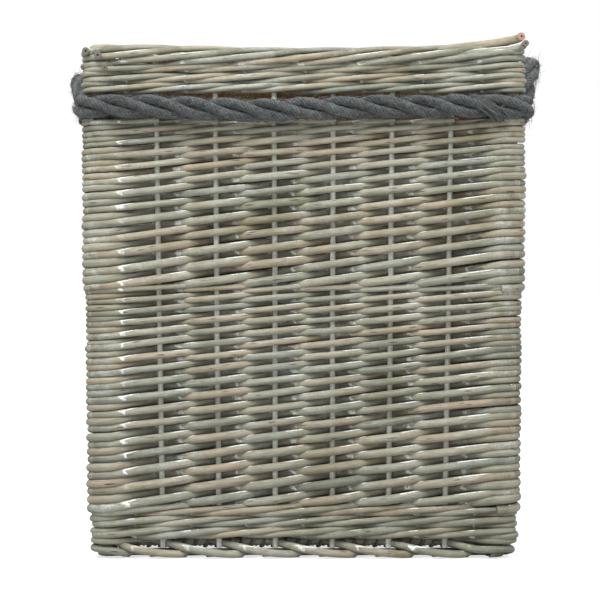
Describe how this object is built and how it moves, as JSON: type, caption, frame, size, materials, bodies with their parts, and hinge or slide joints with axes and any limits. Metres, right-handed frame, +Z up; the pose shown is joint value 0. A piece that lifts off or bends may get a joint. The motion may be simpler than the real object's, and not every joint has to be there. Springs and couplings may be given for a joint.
{
  "type": "log basket",
  "caption": "Square woven willow log basket, slightly wider at the mouth, with a hessian lining and a threaded rope that forms a swinging handle at the left and the right.",
  "frame": {"origin": "centre of the foot, on the floor", "axes": "+Z up through the mouth, -Y towards the front wall, +X towards the right handle"},
  "size_m": [0.5515, 0.5024, 0.5686],
  "materials": {
    "washed_willow": "matt grey-washed willow rods",
    "willow_sticks": "matt grey-washed willow sticks",
    "grey_rope": "soft hairy three-strand rope, slate grey",
    "hessian": "natural jute hessian"
  },
  "bodies": {
    "basket": {"foot_border": "washed_willow", "base_weave": "washed_willow", "base_stick_1": "willow_sticks", "base_stick_2": "willow_sticks", "base_stick_3": "willow_sticks", "base_stick_4": "willow_sticks", "base_stick_5": "willow_sticks", "base_stick_6": "willow_sticks", "base_stick_7": "willow_sticks", "base_stick_8": "willow_sticks", "base_stick_9": "willow_sticks", "corner_post_front_right": "willow_sticks", "corner_post_back_right": "willow_sticks", "corner_post_back_left": "willow_sticks", "corner_post_front_left": "willow_sticks", "stake_front_1": "willow_sticks", "stake_front_2": "willow_sticks", "stake_front_3": "willow_sticks", "stake_front_4": "willow_sticks", "stake_front_5": "willow_sticks", "stake_front_6": "willow_sticks", "stake_right_1": "willow_sticks", "stake_right_2": "willow_sticks", "stake_right_3": "willow_sticks", "stake_right_4": "willow_sticks", "stake_right_5": "willow_sticks", "stake_right_6": "willow_sticks", "stake_back_1": "willow_sticks", "stake_back_2": "willow_sticks", "stake_back_3": "willow_sticks", "stake_back_4": "willow_sticks", "stake_back_5": "willow_sticks", "stake_back_6": "willow_sticks", "stake_left_1": "willow_sticks", "stake_left_2": "willow_sticks", "stake_left_3": "willow_sticks", "stake_left_4": "willow_sticks", "stake_left_5": "willow_sticks", "stake_left_6": "willow_sticks", "bottom_wale": "washed_willow", "lower_band": "washed_willow", "upper_band": "washed_willow", "top_wale": "washed_willow", "top_border": "washed_willow", "rope_front": "grey_rope", "rope_back": "grey_rope", "lining_sides": "hessian", "lining_floor": "hessian"},
    "left_handle": {"rope_handle_left": "grey_rope"},
    "right_handle": {"rope_handle_right": "grey_rope"}
  },
  "joints": [
    {"name": "left_handle_swing", "type": "hinge", "parent": "basket", "child": "left_handle", "pos_m": [-0.246, 0, 0.489], "axis": [0, -1, 0], "range_deg": [-8, 145]},
    {"name": "right_handle_swing", "type": "hinge", "parent": "basket", "child": "right_handle", "pos_m": [0.246, 0, 0.489], "axis": [0, 1, 0], "range_deg": [-7, 146]}
  ]
}
